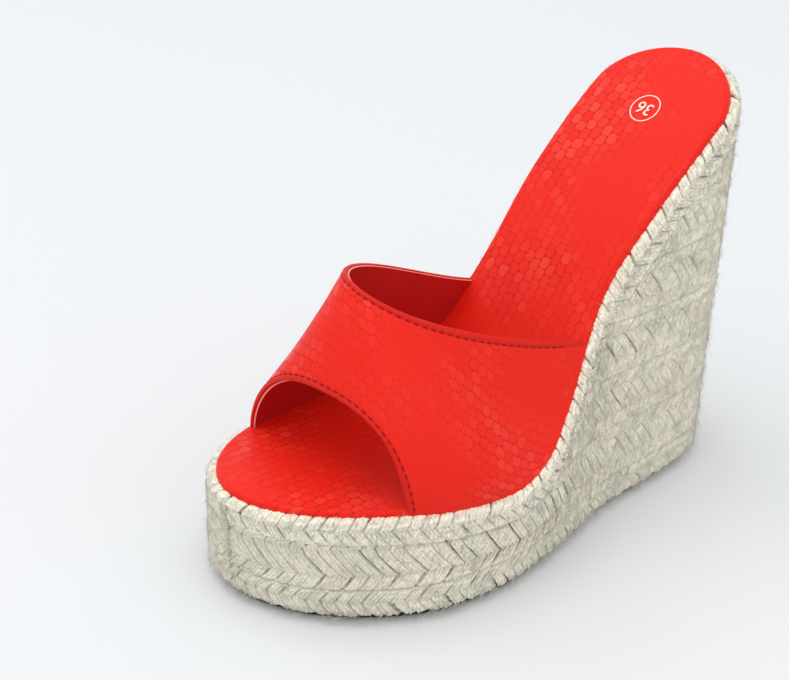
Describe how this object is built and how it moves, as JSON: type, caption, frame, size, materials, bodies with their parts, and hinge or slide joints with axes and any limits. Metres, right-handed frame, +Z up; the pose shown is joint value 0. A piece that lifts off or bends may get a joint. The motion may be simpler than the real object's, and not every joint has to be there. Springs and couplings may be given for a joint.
{
  "type": "wedge sandal",
  "caption": "Open-toe wedge mule for the left foot: a wide embossed band over a padded footbed, on a tall wedge and platform wrapped in braided jute, with a thin rubber outsole.",
  "frame": {"origin": "centre of the shoe's length and width, on the ground under the outsole", "axes": "+X towards the toe, +Y towards the wearer's left, which is this shoe's outer side, +Z up"},
  "size_m": [0.2016, 0.0926, 0.1371],
  "materials": {
    "embossed_cover": "red coated leatherette embossed with rounded scales, satin with glossier scale tops",
    "lining_suede": "deep red napped lining, matte",
    "jute_braid": "natural bleached jute in flat plaits, matte and hairy",
    "outsole_rubber": "black moulded rubber, matte",
    "wedge_foam": "moulded lightweight foam, matte",
    "insole_board": "pressed fibre board, matte",
    "filler_foam": "soft foam sheet, matte",
    "shank_steel": "plain steel",
    "rivet_brass": "plain brass",
    "foil_stamp": "hot-stamped pale metallic foil",
    "interlining_cloth": "woven backing cloth, matte",
    "stitching_thread": "red bonded sewing thread"
  },
  "bodies": {
    "root": {"outsole": "outsole_rubber", "wedge_core": "wedge_foam", "braid_row_1": "jute_braid", "braid_row_2": "jute_braid", "braid_row_3": "jute_braid", "braid_row_4": "jute_braid", "braid_row_5": "jute_braid", "braid_row_6": "jute_braid", "braid_row_7": "jute_braid", "topline_braid": "jute_braid", "insole_board": "insole_board", "heel_stiffener": "insole_board", "steel_shank": "shank_steel", "shank_rivets": "rivet_brass", "heel_nails": "shank_steel", "forepart_filler": "filler_foam", "footbed_foam": "filler_foam", "footbed_cover": "embossed_cover", "size_stamp": "foil_stamp", "band_outer": "embossed_cover", "band_interlining": "interlining_cloth", "band_lining": "lining_suede", "front_edge_stitching": "stitching_thread", "rear_edge_stitching": "stitching_thread"}
  },
  "joints": []
}
